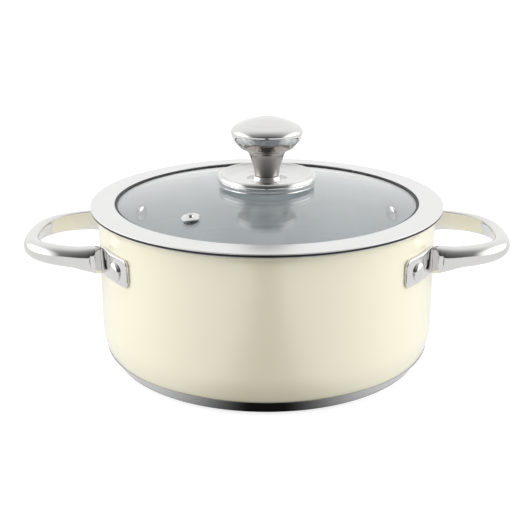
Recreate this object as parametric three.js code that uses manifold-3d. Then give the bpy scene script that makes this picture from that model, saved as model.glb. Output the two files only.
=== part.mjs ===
// Two-handled enamelled casserole with a domed glass lid.
// Millimetres, +Z up. The origin is the centre of the underside, and the handles lie along X.

import * as THREE from 'three';
import { mergeVertices } from 'three/addons/utils/BufferGeometryUtils.js';
import ManifoldModule from 'manifold-3d';

const wasm = await ManifoldModule();
wasm.setup();

// ---------------------------------------------------------------- driving dimensions

const GAP = 0.3; // clearance kept between two pieces that touch
const LARGE_ROUND = 48; // facets round the vessel and the lid
const SMALL_ROUND = 24; // facets round the knob
const FASTENER_ROUND = 16; // facets round rivets and the vent

const VESSEL_R = 120.8; // outside of the straight wall
const VESSEL_WALL = 1.0;
const VESSEL_FLOOR_Z = 6.1; // underside of the steel floor
const CORNER_TIGHT_R = 7.3; // small curve next to the floor
const CORNER_LONG_R = 53; // long curve that runs into the wall
const CORNER_JOIN_ANGLE = 20; // degrees from vertical where the two curves meet
const FLARE_START_Z = 105.9; // the lip flares outwards above this height
const FLARE_R = 6;
const FLARE_ANGLE = 65; // degrees turned by the flared lip

const BASE_FLAT_R = 109.8; // flat underside that the pot stands on
const BASE_EDGE_R = 111.8;
const BASE_SHEET = 0.6;
const BASE_FLOOR_SHEET = 0.8;

const RIVET_AZIMUTH = 34.5; // degrees from the handle's middle, both ways
const RIVET_Z = 84.2;
const RIVET_SHANK_R = 3;
const RIVET_INNER_HEAD_R = 6.3;
const RIVET_OUTER_HEAD_R = 6.8;
const RIVET_HEAD_HEIGHT = 2.8;

const FLANGE_THICKNESS = 2.4;
const FLANGE_HEIGHT = 19.4;
const FLANGE_Z = 85; // middle of the flange
const FLANGE_AZIMUTHS = [19, 41.2]; // degrees from the handle's middle
const FLANGE_CORNER_R = 4;

const BOW_START_X = 98; // the bow is a superellipse with its centre here
const BOW_REACH = 72.7;
const BOW_HALF_WIDTH = 50;
const BOW_EXPONENT = 2.7;
const BOW_STEPS = 28; // sections along the bow
const BOW_ROOT_Z = 83.2; // height of the bar where it leaves the wall
const BOW_RISE = 3.4; // the bar arches up by this much between its root and its tip
const BOW_ARCH = 0.65; // share of a half wave that the arch covers
const BAR_HEIGHT = 15.2; // at the roots
const BAR_TIP_HEIGHT = 13.6;
const BAR_TIP_LEAN = 22; // degrees that the bar leans towards the vessel at its tip
const BAR_DEPTH = 8.6;
const BAR_EDGE_R = 1.6;

const LID_R = 126; // outer edge of the steel rim
const RIM_INNER_R = 108.7;
const RIM_INNER_Z = 115.6; // top of the rim at its inner edge
const RIM_OUTER_Z = 114.8; // top of the rim at its outer edge
const RIM_LEDGE_Z = 113.95; // underside of the rim outside its skirt
const RIM_HEM = 0.75; // height of the folded hem at the inner edge
const RIM_SEAT_Z = 112.6; // underside of the gasket that rests on the vessel's lip
const SKIRT_R = 117.2; // outside of the skirt that centres the lid
const SKIRT_BOTTOM_Z = 104.5;
const CRIMP_REACH = 3.8; // fold under the seal, measured inwards from the skirt
const CRIMP_Z = 106.4;
const RIM_SHEET = 0.8;
const SEAL_LIP_R = 106.9; // thin lip of the seal on the glass, inside the rim
const SEAL_LIP_EDGE = 0.3;

const GLASS_TOP_Z = 126.3;
const GLASS_DROP = 12.5; // fall of the dome between its middle and the rim
const GLASS_THICKNESS = 4;
const GLASS_R = 114.2;
const GLASS_BORE_R = 3.4;

const VENT_RADIUS = 82; // distance of the steam vent from the middle
const VENT_AZIMUTH = -128; // degrees from +X
const VENT_FLANGE_R = 6.2;
const VENT_BARREL_R = 3;
const VENT_BORE_R = 1.7;

const PLATE_R = 35.5; // saucer under the knob, at its widest
const PLATE_RIM_Z = 134.3;
const PLATE_COLLAR_Z = 132.6;
const STEM_WAIST_R = 8.8;
const STEM_TOP_R = 14.5;
const STEM_TOP_Z = 151.4;
const HEAD_R = 25.4; // knob head at its widest
const HEAD_TOP_Z = 174.5;
const SCREW_SHANK_R = 2.5;
const SCREW_TOP_Z = 146;

const LID_STACK_Z = GLASS_TOP_Z - GLASS_THICKNESS; // underside of the glass in the middle

// ---------------------------------------------------------------- materials

const metal = (color, roughness) => new THREE.MeshStandardMaterial({ color, roughness, metalness: 1 });
const plain = (color, roughness) => new THREE.MeshStandardMaterial({ color, roughness, metalness: 0 });

const ENAMEL = plain(0xf1eedf, 0.2);
const POLISHED = metal(0xd2d2d0, 0.08);
const SATIN = metal(0xc8cbce, 0.3);
const DARK_STEEL = metal(0x5c5f63, 0.15);
const ALUMINIUM = metal(0xb9bcc0, 0.4);
const GLASS = new THREE.MeshStandardMaterial({
  color: 0xdfe8ea,
  roughness: 0.02,
  metalness: 0,
  transparent: true,
  opacity: 0.3,
});
const SILICONE = plain(0x26282a, 0.5);

// ---------------------------------------------------------------- helpers

const degrees = (angle) => THREE.MathUtils.degToRad(angle);

// A solid of revolution about Z from [radius, height] points, listed anticlockwise.
function revolve(profile, facets) {
  const points = profile.map(([radius, height]) => new THREE.Vector2(radius, height));
  const geometry = new THREE.LatheGeometry(points, facets);
  geometry.rotateX(Math.PI / 2);
  return geometry;
}

// The same, with a profile that closes on itself instead of ending on the axis.
function revolveRing(profile, facets) {
  return revolve([...profile, profile[0]], facets);
}

// Points on a circular arc in the [radius, height] plane, angles in degrees.
function arc(centre, radius, from, to, steps) {
  const points = [];
  for (let i = 0; i <= steps; i += 1) {
    const angle = degrees(from + ((to - from) * i) / steps);
    points.push([centre[0] + radius * Math.cos(angle), centre[1] + radius * Math.sin(angle)]);
  }
  return points;
}

// Points on a smooth curve through the given [radius, height] points.
function smooth(points, steps) {
  const curve = new THREE.SplineCurve(points.map(([r, z]) => new THREE.Vector2(r, z)));
  return curve.getPoints(steps).map((point) => [point.x, point.y]);
}

// A closed geometry as a manifold solid, without the zero-area triangles on a lathe's axis.
function toSolid(geometry) {
  const bare = geometry.clone();
  bare.deleteAttribute('normal');
  bare.deleteAttribute('uv');
  const merged = mergeVertices(bare, 1e-4);
  const corners = merged.index.array;
  const kept = [];
  for (let i = 0; i < corners.length; i += 3) {
    const [a, b, c] = [corners[i], corners[i + 1], corners[i + 2]];
    if (a !== b && b !== c && c !== a) {
      kept.push(a, b, c);
    }
  }
  const vertProperties = Float32Array.from(merged.attributes.position.array);
  const mesh = new wasm.Mesh({ numProp: 3, vertProperties, triVerts: Uint32Array.from(kept) });
  return new wasm.Manifold(mesh);
}

function toGeometry(solid) {
  const mesh = solid.getMesh();
  const geometry = new THREE.BufferGeometry();
  geometry.setAttribute('position', new THREE.BufferAttribute(mesh.vertProperties, 3));
  geometry.setIndex(new THREE.BufferAttribute(mesh.triVerts, 1));
  geometry.computeVertexNormals();
  return geometry;
}

// A closed bar through rings of points that all turn the same way about its length.
function loft(rings) {
  const size = rings[0].length;
  const last = (rings.length - 1) * size;
  const corners = [];
  for (let start = 0; start < last; start += size) {
    for (let i = 0; i < size; i += 1) {
      const a = start + i;
      const b = start + ((i + 1) % size);
      corners.push(a, b, a + size, b, b + size, a + size);
    }
  }
  for (let i = 1; i + 1 < size; i += 1) {
    corners.push(0, i + 1, i, last, last + i, last + i + 1);
  }
  const geometry = new THREE.BufferGeometry();
  geometry.setAttribute('position', new THREE.Float32BufferAttribute(rings.flat(2), 3));
  geometry.setIndex(corners);
  return geometry;
}

function piece(name, geometry, material) {
  const mesh = new THREE.Mesh(geometry, material);
  mesh.name = name;
  return mesh;
}

// A round bar along the radius at one azimuth and height, for cutting rivet holes.
function radialPin(radius, azimuth, height) {
  const pin = new THREE.CylinderGeometry(radius, radius, 20, FASTENER_ROUND);
  pin.rotateZ(Math.PI / 2);
  pin.translate(VESSEL_R, 0, 0);
  pin.rotateZ(degrees(azimuth));
  pin.translate(0, 0, height);
  return toSolid(pin);
}

// ---------------------------------------------------------------- vessel and base

const tightCentre = [
  VESSEL_R - (CORNER_LONG_R - CORNER_TIGHT_R) * (1 - Math.cos(degrees(CORNER_JOIN_ANGLE))) - CORNER_TIGHT_R,
  VESSEL_FLOOR_Z + CORNER_TIGHT_R,
];
const longCentre = [
  VESSEL_R - CORNER_LONG_R,
  tightCentre[1] + (CORNER_LONG_R - CORNER_TIGHT_R) * Math.sin(degrees(CORNER_JOIN_ANGLE)),
];

// One skin of the vessel from the floor to the lip, set in from the outside by an inset.
function vesselSkin(inset) {
  const flareCentre = [VESSEL_R + FLARE_R, FLARE_START_Z];
  return [
    [0, VESSEL_FLOOR_Z + inset],
    ...arc(tightCentre, CORNER_TIGHT_R - inset, -90, -CORNER_JOIN_ANGLE, 3),
    ...arc(longCentre, CORNER_LONG_R - inset, -CORNER_JOIN_ANGLE, 0, 3).slice(1),
    ...arc(flareCentre, FLARE_R + inset, 180, 180 - FLARE_ANGLE, 3),
  ];
}

function vessel() {
  const shell = revolve([...vesselSkin(0), ...vesselSkin(VESSEL_WALL).reverse()], LARGE_ROUND);
  let solid = toSolid(shell);
  for (const side of [0, 180]) {
    for (const sign of [-1, 1]) {
      solid = solid.subtract(radialPin(RIVET_SHANK_R + GAP, side + sign * RIVET_AZIMUTH, RIVET_Z));
    }
  }
  return piece('vessel', toGeometry(solid), ENAMEL);
}

function baseCore() {
  const bottom = BASE_FLOOR_SHEET + GAP;
  const top = VESSEL_FLOOR_Z - GAP;
  const radius = BASE_FLAT_R - GAP;
  const profile = [[0, bottom], [radius, bottom], [radius, top], [0, top]];
  return piece('base_core', revolve(profile, LARGE_ROUND), ALUMINIUM);
}

// Steel cup round the core, whose rim follows the vessel's corner.
function baseCap() {
  const edgeR = BASE_EDGE_R - BASE_FLAT_R;
  const rimInside = CORNER_TIGHT_R + GAP;
  const rimAngles = [-68, -CORNER_JOIN_ANGLE - 2];
  const profile = [
    [0, 0],
    ...arc([BASE_FLAT_R, edgeR], edgeR, -90, 0, 2),
    [BASE_EDGE_R + 0.5, VESSEL_FLOOR_Z - 1.6],
    ...arc(tightCentre, rimInside + BASE_SHEET, rimAngles[0] + 6, rimAngles[1], 2),
    ...arc(tightCentre, rimInside, rimAngles[1], rimAngles[0], 2),
    [BASE_EDGE_R - BASE_SHEET, VESSEL_FLOOR_Z - 1.2],
    [BASE_EDGE_R - BASE_SHEET, edgeR],
    [BASE_FLAT_R, BASE_FLOOR_SHEET],
    [0, BASE_FLOOR_SHEET],
  ];
  return piece('base_cap', revolve(profile, LARGE_ROUND), DARK_STEEL);
}

// ---------------------------------------------------------------- handles and rivets

// Centreline of the bow in plan, from the near root (-Y) round the tip to the far root (+Y).
class BowCurve extends THREE.Curve {
  getPoint(t, target = new THREE.Vector3()) {
    const angle = Math.PI * (t - 0.5);
    const power = 2 / BOW_EXPONENT;
    const x = BOW_START_X + BOW_REACH * Math.cos(angle) ** power;
    const y = BOW_HALF_WIDTH * Math.sign(angle) * Math.abs(Math.sin(angle)) ** power;
    return target.set(x, y, 0);
  }
}

// D-shaped section as [outwards, upwards] points: flat towards the vessel, leaned back by an angle.
function barSection(height, lean) {
  const half = height / 2;
  const flat = -BAR_DEPTH / 2;
  const bulge = BAR_DEPTH / 2;
  const shoulder = BAR_DEPTH * 0.3;
  const shape = new THREE.Shape();
  shape.moveTo(flat, half - BAR_EDGE_R);
  shape.quadraticCurveTo(flat, half, flat + BAR_EDGE_R, half);
  shape.bezierCurveTo(shoulder, half, bulge, half * 0.5, bulge, 0);
  shape.bezierCurveTo(bulge, -half * 0.5, shoulder, -half, flat + BAR_EDGE_R, -half);
  shape.quadraticCurveTo(flat, -half, flat, -half + BAR_EDGE_R);
  const middle = new THREE.Vector2(0, 0);
  return shape.getPoints(3).map((point) => point.rotateAround(middle, lean));
}

// Height of the bar's middle at a distance from the vessel's axis: an even arch from root to tip.
function bowHeight(x) {
  const along = Math.min((x - BOW_START_X) / BOW_REACH, 1);
  return BOW_ROOT_Z + BOW_RISE * Math.sin(Math.PI * BOW_ARCH * along);
}

function bowBar() {
  const curve = new BowCurve();
  const rings = [];
  for (let i = 0; i <= BOW_STEPS; i += 1) {
    const centre = curve.getPointAt(i / BOW_STEPS);
    const along = curve.getTangentAt(i / BOW_STEPS);
    const outwards = new THREE.Vector2(along.y, -along.x);
    const height = THREE.MathUtils.lerp(BAR_HEIGHT, BAR_TIP_HEIGHT, outwards.x);
    const section = barSection(height, degrees(BAR_TIP_LEAN) * outwards.x);
    rings.push(section.map((point) => [
      centre.x + outwards.x * point.x,
      centre.y + outwards.y * point.x,
      bowHeight(centre.x) + point.y,
    ]));
  }
  return toSolid(loft(rings));
}

// One curved foot that lies on the wall, on the side of the handle given by its sign.
function flange(sign) {
  const inner = VESSEL_R + GAP;
  const outer = inner + FLANGE_THICKNESS;
  const bottom = FLANGE_Z - FLANGE_HEIGHT;
  const top = FLANGE_Z + FLANGE_HEIGHT;
  const band = toSolid(revolveRing([[inner, bottom], [outer, bottom], [outer, top], [inner, top]], LARGE_ROUND));

  const halfWidth = (outer * degrees(FLANGE_AZIMUTHS[1] - FLANGE_AZIMUTHS[0])) / 2;
  const halfHeight = FLANGE_HEIGHT / 2;
  const corner = FLANGE_CORNER_R;
  const outline = new THREE.Shape();
  outline.absarc(halfWidth - corner, halfHeight - corner, corner, 0, Math.PI / 2);
  outline.absarc(-halfWidth + corner, halfHeight - corner, corner, Math.PI / 2, Math.PI);
  outline.absarc(-halfWidth + corner, -halfHeight + corner, corner, Math.PI, Math.PI * 1.5);
  outline.absarc(halfWidth - corner, -halfHeight + corner, corner, Math.PI * 1.5, Math.PI * 2);
  const block = new THREE.ExtrudeGeometry(outline, { depth: 60, bevelEnabled: false, curveSegments: 3 });
  block.rotateX(Math.PI / 2);
  block.rotateZ(Math.PI / 2);
  block.translate(outer - 40, 0, FLANGE_Z);
  block.rotateZ(sign * degrees((FLANGE_AZIMUTHS[0] + FLANGE_AZIMUTHS[1]) / 2));
  return band.intersect(toSolid(block));
}

function handleGeometry() {
  const inner = VESSEL_R + GAP;
  const wall = revolve([[0, 0], [inner, 0], [inner, 150], [0, 150]], LARGE_ROUND);
  let solid = bowBar().subtract(toSolid(wall));
  for (const sign of [-1, 1]) {
    solid = solid.add(flange(sign));
    solid = solid.subtract(radialPin(RIVET_SHANK_R + GAP, sign * RIVET_AZIMUTH, RIVET_Z));
  }
  return toGeometry(solid);
}

// Domed rivet through the wall and the flange, with its axis on the vessel's radius.
function rivetGeometry() {
  const innerSeat = VESSEL_R - VESSEL_WALL - GAP - 0.4;
  const outerSeat = VESSEL_R + GAP + FLANGE_THICKNESS + GAP;
  const rimDrop = 0.8;
  const profile = [
    [0, innerSeat - RIVET_HEAD_HEIGHT],
    [RIVET_INNER_HEAD_R * 0.5, innerSeat - RIVET_HEAD_HEIGHT * 0.88],
    [RIVET_INNER_HEAD_R * 0.86, innerSeat - RIVET_HEAD_HEIGHT * 0.5],
    [RIVET_INNER_HEAD_R, innerSeat - rimDrop * 0.5],
    [RIVET_INNER_HEAD_R, innerSeat],
    [RIVET_SHANK_R, innerSeat],
    [RIVET_SHANK_R, outerSeat],
    [RIVET_OUTER_HEAD_R, outerSeat],
    [RIVET_OUTER_HEAD_R, outerSeat + rimDrop * 0.5],
    [RIVET_OUTER_HEAD_R * 0.86, outerSeat + RIVET_HEAD_HEIGHT * 0.5],
    [RIVET_OUTER_HEAD_R * 0.5, outerSeat + RIVET_HEAD_HEIGHT * 0.88],
    [0, outerSeat + RIVET_HEAD_HEIGHT],
  ];
  const rivet = revolve(profile, FASTENER_ROUND);
  rivet.rotateY(Math.PI / 2);
  return rivet;
}

function handlesAndRivets() {
  const group = new THREE.Group();
  for (const [side, turn] of [['right', 0], ['left', Math.PI]]) {
    const end = new THREE.Group();
    end.rotation.z = turn;
    end.add(piece(`handle_${side}`, handleGeometry(), POLISHED));
    const nearSign = side === 'right' ? -1 : 1;
    for (const [place, sign] of [['front', nearSign], ['back', -nearSign]]) {
      const rivet = piece(`rivet_${side}_${place}`, rivetGeometry(), POLISHED);
      rivet.rotation.z = sign * degrees(RIVET_AZIMUTH);
      rivet.position.z = RIVET_Z;
      end.add(rivet);
    }
    group.add(end);
  }
  return group;
}

// ---------------------------------------------------------------- lid: glass, rim, seal

const glassTop = (radius) => GLASS_TOP_Z - GLASS_DROP * (radius / RIM_INNER_R) ** 2;
const rimTop = (radius) => {
  const slope = (RIM_OUTER_Z - RIM_INNER_Z) / (LID_R - RIM_INNER_R);
  return RIM_INNER_Z + slope * (radius - RIM_INNER_R);
};

function glassRings(thickness) {
  const radii = [GLASS_BORE_R, 30, 58, 84, 100, GLASS_R];
  return radii.map((radius) => [radius, glassTop(radius) - thickness]);
}

function lidGlass(ventHole) {
  const profile = [...glassRings(GLASS_THICKNESS), ...glassRings(0).reverse()];
  const solid = toSolid(revolveRing(profile, LARGE_ROUND)).subtract(ventHole);
  return piece('lid_glass', toGeometry(solid), GLASS);
}

// Steel band folded round the glass: sloping top, rolled edges, skirt and inner crimp.
function lidRim() {
  const skirtInner = SKIRT_R - RIM_SHEET;
  const crimpInner = skirtInner - CRIMP_REACH;
  const hemBottom = RIM_INNER_Z - RIM_HEM;
  const tip = SKIRT_BOTTOM_Z + 0.5;
  const profile = [
    [RIM_INNER_R + 0.3, hemBottom],
    [RIM_INNER_R + 1.5, rimTop(RIM_INNER_R) - RIM_SHEET],
    [skirtInner, rimTop(skirtInner) - RIM_SHEET],
    [skirtInner, CRIMP_Z + RIM_SHEET],
    [crimpInner, CRIMP_Z + RIM_SHEET],
    [crimpInner, CRIMP_Z],
    [skirtInner, CRIMP_Z],
    [skirtInner, tip],
    [SKIRT_R - RIM_SHEET / 2, SKIRT_BOTTOM_Z],
    [SKIRT_R, tip],
    [SKIRT_R + 0.3, RIM_LEDGE_Z],
    [LID_R - 0.6, RIM_LEDGE_Z],
    [LID_R, RIM_LEDGE_Z + 0.4],
    [LID_R - 0.5, rimTop(LID_R)],
    [RIM_INNER_R + 1.2, rimTop(RIM_INNER_R)],
    [RIM_INNER_R, hemBottom + 0.35],
  ];
  return piece('lid_rim', revolveRing(profile, LARGE_ROUND), POLISHED);
}

// Silicone channel that holds the glass edge inside the folded band, with a lip on the glass.
function rimSeal() {
  const outer = SKIRT_R - RIM_SHEET - GAP;
  const bottom = CRIMP_Z + RIM_SHEET + GAP;
  const inner = GLASS_R - 1.6;
  const nose = RIM_INNER_R + 1.8;
  const underHem = RIM_INNER_Z - RIM_HEM - GAP;
  const edge = GLASS_R + GAP;
  const under = glassTop(GLASS_R) - GLASS_THICKNESS - GAP;
  const profile = [
    [inner, bottom],
    [outer, bottom],
    [outer, rimTop(outer) - RIM_SHEET - GAP],
    [nose, rimTop(nose) - RIM_SHEET - GAP],
    [RIM_INNER_R - 0.2, underHem],
    [SEAL_LIP_R, glassTop(SEAL_LIP_R) + GAP + SEAL_LIP_EDGE],
    [SEAL_LIP_R, glassTop(SEAL_LIP_R) + GAP],
    [RIM_INNER_R, glassTop(RIM_INNER_R) + GAP],
    [nose, glassTop(nose) + GAP],
    [edge, glassTop(edge) + GAP + 0.1],
    [edge, under],
    [inner, under],
  ];
  return piece('rim_seal', revolveRing(profile, LARGE_ROUND), SILICONE);
}

// Flat silicone ring under the rim, which rests on the vessel's lip.
function rimGasket() {
  const inner = SKIRT_R + 0.3 + GAP;
  const outer = LID_R - 0.2;
  const top = RIM_LEDGE_Z - GAP;
  const profile = [[inner, RIM_SEAT_Z], [outer, RIM_SEAT_Z], [outer, top], [inner, top]];
  return piece('rim_gasket', revolveRing(profile, LARGE_ROUND), SILICONE);
}

// ---------------------------------------------------------------- lid: steam vent

// A frame on the dome at the vent, with its z along the glass's normal.
function ventFrame() {
  const slope = (2 * GLASS_DROP * VENT_RADIUS) / RIM_INNER_R ** 2;
  const place = new THREE.Group();
  place.rotation.z = degrees(VENT_AZIMUTH);
  const seat = new THREE.Group();
  seat.position.set(VENT_RADIUS, 0, glassTop(VENT_RADIUS));
  seat.rotation.y = Math.atan(slope);
  place.add(seat);
  place.updateMatrixWorld(true);
  return { place, seat };
}

function ventCut(seat) {
  const hole = new THREE.CylinderGeometry(VENT_BARREL_R + GAP, VENT_BARREL_R + GAP, 16, FASTENER_ROUND);
  hole.rotateX(Math.PI / 2);
  hole.applyMatrix4(seat.matrixWorld);
  return toSolid(hole);
}

function ventPieces() {
  const gasketThickness = 0.6;
  const flangeZ = GAP + gasketThickness + GAP;
  const washerThickness = 0.8;
  const washerTop = -GLASS_THICKNESS - GAP;
  const crimpTop = washerTop - washerThickness - GAP;
  const eyelet = revolveRing([
    [VENT_BORE_R, crimpTop - 0.7],
    [VENT_BARREL_R + 1.5, crimpTop - 0.7],
    [VENT_BARREL_R + 1.5, crimpTop],
    [VENT_BARREL_R, crimpTop],
    [VENT_BARREL_R, flangeZ],
    [VENT_FLANGE_R - 0.3, flangeZ],
    [VENT_FLANGE_R, flangeZ + 0.35],
    [VENT_FLANGE_R - 0.9, flangeZ + 1],
    [VENT_BORE_R + 0.8, flangeZ + 1],
    [VENT_BORE_R, flangeZ + 0.6],
  ], FASTENER_ROUND);
  const gasket = revolveRing([
    [VENT_BARREL_R + GAP, GAP],
    [VENT_FLANGE_R - 0.6, GAP],
    [VENT_FLANGE_R - 0.6, GAP + gasketThickness],
    [VENT_BARREL_R + GAP, GAP + gasketThickness],
  ], FASTENER_ROUND);
  const washer = revolveRing([
    [VENT_BARREL_R + GAP, washerTop - washerThickness],
    [VENT_FLANGE_R, washerTop - washerThickness],
    [VENT_FLANGE_R, washerTop],
    [VENT_BARREL_R + GAP, washerTop],
  ], FASTENER_ROUND);
  return [
    piece('vent_eyelet', eyelet, POLISHED),
    piece('vent_gasket', gasket, SILICONE),
    piece('vent_washer', washer, SATIN),
  ];
}

// ---------------------------------------------------------------- lid: knob

// Dished saucer that keeps fingers off the glass, with a raised collar for the stem.
function knobPlate() {
  const hubUnderside = GLASS_TOP_Z + 1.6;
  const floorUnderside = GLASS_TOP_Z + 0.5;
  const bore = SCREW_SHANK_R + GAP;
  const profile = [
    [bore, hubUnderside],
    [13.2, hubUnderside],
    [13.8, floorUnderside],
    [24, floorUnderside + 0.1],
    [PLATE_R - 3, floorUnderside + 1],
    [PLATE_R - 0.9, floorUnderside + 0.5],
    [PLATE_R, floorUnderside + 4.6],
    [PLATE_R - 1.4, PLATE_RIM_Z],
    [PLATE_R - 3.4, PLATE_RIM_Z - 1.4],
    [26, 129.6],
    [18, 128.9],
    [12, 129.3],
    [9.6, 130.4],
    [9.4, PLATE_COLLAR_Z],
    [bore, PLATE_COLLAR_Z],
  ];
  return piece('knob_plate', revolveRing(profile, SMALL_ROUND), POLISHED);
}

function knobStem() {
  const bottom = PLATE_COLLAR_Z + GAP;
  const bore = SCREW_SHANK_R + GAP;
  const flare = smooth([
    [STEM_WAIST_R, bottom + 0.4],
    [STEM_WAIST_R + 0.95, bottom + 7],
    [STEM_WAIST_R + 2.75, bottom + 13],
    [STEM_TOP_R, STEM_TOP_Z],
  ], 6);
  const profile = [
    [bore, bottom],
    [STEM_WAIST_R - 0.4, bottom],
    ...flare,
    [0, STEM_TOP_Z],
    [0, SCREW_TOP_Z + 1],
    [bore, SCREW_TOP_Z + 1],
    [bore, bottom],
  ];
  return piece('knob_stem', revolve(profile, SMALL_ROUND), POLISHED);
}

// Conical underside of the head, and the domed cap pressed over its rim.
function knobHead() {
  const sheet = 1.1;
  const cupBottom = STEM_TOP_Z + GAP;
  const cup = [
    [0, cupBottom],
    [STEM_TOP_R + 1, cupBottom],
    [18.8, cupBottom + 1.7],
    [HEAD_R - 1.6, cupBottom + 7.1],
    [HEAD_R - 2.4, cupBottom + 7.6],
    [18, cupBottom + 1.7 + sheet],
    [STEM_TOP_R, cupBottom + sheet],
    [0, cupBottom + sheet],
  ];
  const capBottom = cupBottom + 7.5;
  const cap = [
    [0, HEAD_TOP_Z - sheet],
    [17.6, HEAD_TOP_Z - 3.7 - sheet],
    [HEAD_R - sheet, HEAD_TOP_Z - 9.4],
    [HEAD_R - sheet - 0.2, capBottom],
    [HEAD_R - 0.6, capBottom],
    [HEAD_R, HEAD_TOP_Z - 9.7],
    [HEAD_R - 1.2, HEAD_TOP_Z - 7.9],
    [18, HEAD_TOP_Z - 3.8],
    [16.6, HEAD_TOP_Z - 3.1],
    [9, HEAD_TOP_Z - 0.8],
    [0, HEAD_TOP_Z],
  ];
  return [
    piece('knob_cup', revolve(cup, SMALL_ROUND), POLISHED),
    piece('knob_cap', revolve(cap, SMALL_ROUND), POLISHED),
  ];
}

// Screw from below, with the washers that spread its load on the glass.
function knobFixings() {
  const bore = SCREW_SHANK_R + GAP;
  const flat = (inner, outer, bottom, top) => revolveRing(
    [[inner, bottom], [outer, bottom], [outer, top], [inner, top]],
    SMALL_ROUND,
  );
  const underTop = LID_STACK_Z - GAP - 0.15;
  const underBottom = underTop - 1;
  const washerTop = underBottom - GAP;
  const washerBottom = washerTop - 0.9;
  const headTop = washerBottom - GAP;
  const recess = 1.6;
  const screw = revolve([
    [0, headTop - 2.7 + recess],
    [1.4, headTop - 2.6 + recess],
    [1.6, headTop - 2.7],
    [4.2, headTop - 2.2],
    [5.6, headTop - 0.7],
    [5.6, headTop],
    [SCREW_SHANK_R, headTop],
    [SCREW_SHANK_R, SCREW_TOP_Z - 0.8],
    [SCREW_SHANK_R - 0.7, SCREW_TOP_Z],
    [0, SCREW_TOP_Z],
  ], SMALL_ROUND);
  return [
    piece('knob_screw', screw, SATIN),
    piece('knob_washer', flat(bore, 9.4, washerBottom, washerTop), SATIN),
    piece('knob_under_gasket', flat(GLASS_BORE_R, 11, underBottom, underTop), SILICONE),
    piece('knob_plate_gasket', flat(GLASS_BORE_R, 12.6, GLASS_TOP_Z + GAP, GLASS_TOP_Z + GAP + 0.9), SILICONE),
  ];
}

// ---------------------------------------------------------------- assembly

const casserole = new THREE.Group();

const pot = new THREE.Group();
pot.add(vessel(), baseCore(), baseCap(), handlesAndRivets());

const lid = new THREE.Group();
const vent = ventFrame();
lid.add(lidGlass(ventCut(vent.seat)), lidRim(), rimSeal(), rimGasket());
vent.seat.add(...ventPieces());
lid.add(vent.place, knobPlate(), knobStem(), ...knobHead(), ...knobFixings());

casserole.add(pot, lid);

export default casserole;
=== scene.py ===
import math

import bmesh
import bpy
from mathutils import Matrix, Vector


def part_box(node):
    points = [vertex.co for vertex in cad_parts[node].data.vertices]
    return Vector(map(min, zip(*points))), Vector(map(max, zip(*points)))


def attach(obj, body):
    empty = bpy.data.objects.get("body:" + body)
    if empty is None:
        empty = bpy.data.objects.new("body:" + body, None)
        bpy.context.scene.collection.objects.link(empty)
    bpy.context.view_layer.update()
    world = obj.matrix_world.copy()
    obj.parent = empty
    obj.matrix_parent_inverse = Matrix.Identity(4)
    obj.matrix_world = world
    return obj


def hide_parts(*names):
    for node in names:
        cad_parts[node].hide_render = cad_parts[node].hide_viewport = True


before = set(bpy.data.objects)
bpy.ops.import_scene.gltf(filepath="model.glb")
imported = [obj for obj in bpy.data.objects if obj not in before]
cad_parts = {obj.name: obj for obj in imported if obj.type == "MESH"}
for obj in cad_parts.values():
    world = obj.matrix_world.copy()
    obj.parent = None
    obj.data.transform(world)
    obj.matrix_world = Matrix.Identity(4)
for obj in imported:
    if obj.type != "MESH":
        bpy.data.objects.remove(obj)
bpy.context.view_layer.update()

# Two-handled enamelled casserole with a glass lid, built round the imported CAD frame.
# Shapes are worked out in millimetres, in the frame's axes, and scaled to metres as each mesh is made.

MM = 0.001


def box_mm(node):
    low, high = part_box(node)
    return Vector(low) / MM, Vector(high) / MM


# ---------------------------------------------------------------- sizes, from the frame

VESSEL_LOW, VESSEL_HIGH = box_mm("vessel")
RIM_LOW, RIM_HIGH = box_mm("lid_rim")
GLASS_HIGH = box_mm("lid_glass")[1]
PLATE_LOW, PLATE_HIGH = box_mm("knob_plate")
STEM_LOW, STEM_HIGH = box_mm("knob_stem")
CUP_LOW = box_mm("knob_cup")[0]
HEAD_LOW, HEAD_HIGH = box_mm("knob_cap")
HANDLE_LOW, HANDLE_HIGH = box_mm("handle_right")
EYELET_LOW, EYELET_HIGH = box_mm("vent_eyelet")

FLARE_TURN = math.radians(65)  # how far the lip turns outwards
FLARE_R = 6
LIP_R = VESSEL_HIGH.x
WALL = 1.0
WALL_R = LIP_R - FLARE_R * (1 - math.cos(FLARE_TURN))  # outside of the straight wall
FLOOR_Z = VESSEL_LOW.z
TIGHT_R = 7.3  # the corner's small curve, next to the floor
LONG_R = 53  # the corner's long curve, which runs into the wall
JOIN = math.radians(20)  # the slope from vertical where they meet
FLARE_Z = VESSEL_HIGH.z - (FLARE_R + WALL) * math.sin(FLARE_TURN)
ENAMEL = 0.25  # thickness of the enamel coat

LID_R = RIM_HIGH.x
RIM_INNER_R = LID_R - 17.3
RIM_INNER_Z = RIM_HIGH.z
RIM_OUTER_Z = RIM_HIGH.z - 0.8
LEDGE_Z = RIM_HIGH.z - 1.65  # underside of the rim outside its skirt
SEAT_Z = VESSEL_HIGH.z + 0.15
CRIMP_Z = RIM_LOW.z + 1.9  # underside of the fold that holds the seal
CRIMP_REACH = 3.8
RIM_SHEET = 0.8
SKIRT_R = LID_R - 8.8
LIP_EDGE_R = RIM_INNER_R - 1.8  # inner edge of the seal's lip on the glass

GLASS_R = GLASS_HIGH.x
GLASS_TOP_Z = GLASS_HIGH.z + 0.01
GLASS_DROP = 12.5
GLASS_THICKNESS = 4

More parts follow.
